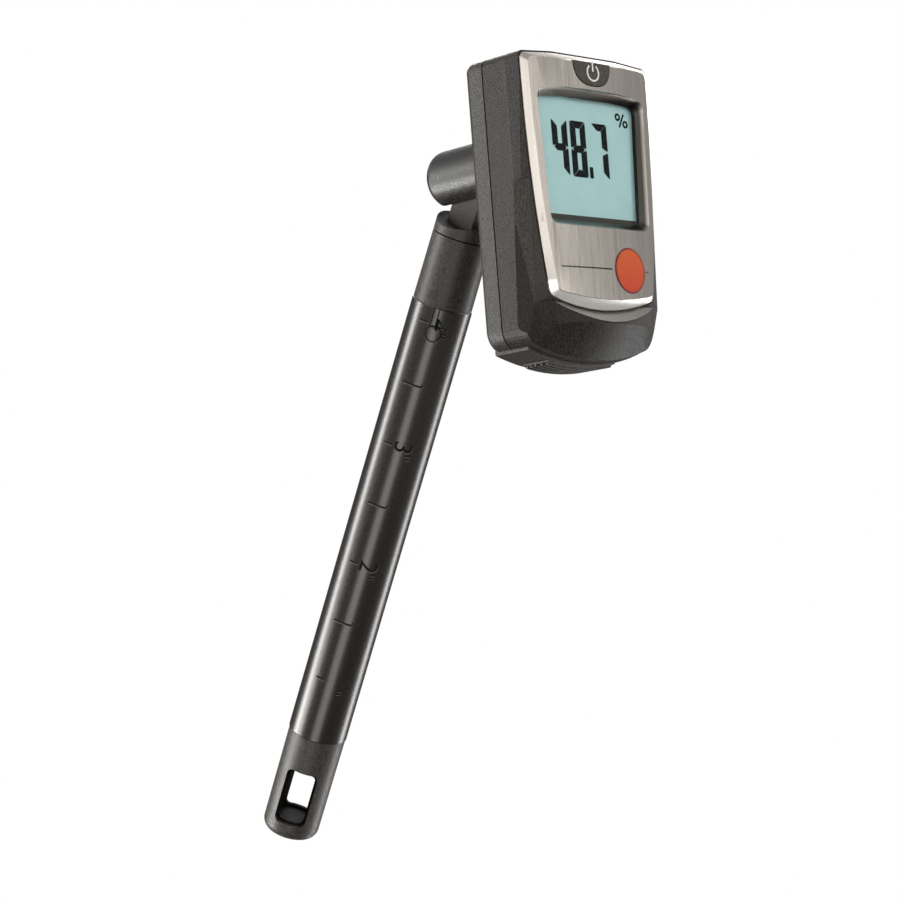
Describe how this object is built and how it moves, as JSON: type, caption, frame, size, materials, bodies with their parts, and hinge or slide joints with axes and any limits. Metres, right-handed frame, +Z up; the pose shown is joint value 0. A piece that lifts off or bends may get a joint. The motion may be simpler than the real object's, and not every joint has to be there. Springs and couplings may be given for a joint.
{
  "type": "thermo-hygrometer",
  "caption": "Pocket thermo-hygrometer: display head on a forked neck that tilts and turns on a slim probe shaft with a slotted sensor cap.",
  "frame": {"origin": "on the probe shaft axis, at the middle of the scale sleeve", "axes": "+Z up the shaft towards the head, -Y to the side the display faces, +X to the right of someone reading the display"},
  "size_m": [0.0344, 0.054, 0.1698],
  "materials": {
    "charcoal_plastic": "fine-textured warm charcoal plastic",
    "black_gloss": "smooth glossy black plastic",
    "satin_silver": "satin silver with a fine upright grain",
    "clear_window": "clear polished window",
    "lcd_pale": "pale blue-green liquid crystal display",
    "black_matte": "matt black plastic",
    "contact_rubber": "conductive rubber strip",
    "circuit_green": "green coated circuit board",
    "sensor_white": "white ceramic",
    "lead_grey": "grey flexible insulation",
    "plain_steel": "plain steel",
    "cell_steel": "bright plated steel",
    "contact_brass": "thin spring brass",
    "key_grey": "dark warm grey plastic with a white power symbol",
    "orange_inlay": "plain orange-red inlay"
  },
  "bodies": {
    "shaft": {"upper_tube": "charcoal_plastic", "scale_sleeve": "black_gloss", "sensor_cap": "charcoal_plastic", "sensor_guard": "black_gloss", "sensor_board": "circuit_green", "humidity_sensor": "sensor_white", "temperature_sensor": "black_gloss", "shaft_lead": "lead_grey"},
    "swivel": {"knuckle": "charcoal_plastic", "retaining_ring": "plain_steel", "friction_washers": "plain_steel"},
    "head": {"neck_fork": "charcoal_plastic", "pivot_pin": "plain_steel", "neck_lead": "lead_grey", "rear_shell": "charcoal_plastic", "front_shell": "charcoal_plastic", "face_panel": "satin_silver", "display_window": "clear_window", "lcd_glass": "lcd_pale", "lcd_holder": "black_matte", "zebra_strip": "contact_rubber", "circuit_board": "circuit_green", "driver_chip": "black_matte", "key_dome": "plain_steel", "inlay_disc": "orange_inlay", "housing_screws": "plain_steel", "button_cells": "cell_steel", "battery_contacts": "contact_brass"},
    "key": {"power_key": "key_grey"},
    "cover": {"battery_cover": "charcoal_plastic"}
  },
  "joints": [
    {"name": "shaft_turn", "type": "hinge", "parent": "shaft", "child": "swivel", "pos_m": [0, 0, 0.0599], "axis": [0, 0, 1], "range_deg": [-135, 135]},
    {"name": "head_tilt", "type": "hinge", "parent": "swivel", "child": "head", "pos_m": [0, 0, 0.0734], "axis": [1, 0, 0], "range_deg": [-60.8, 29.2]},
    {"name": "key_press", "type": "slide", "parent": "head", "child": "key", "axis": [0, 0.8729, -0.4879], "range_m": [0, 0.0004], "stiffness_N_per_m": 500, "springref_m": -0.0002},
    {"name": "cover_slide", "type": "slide", "parent": "head", "child": "cover", "axis": [0, 0.8729, -0.4879], "range_m": [0, 0.007]}
  ]
}
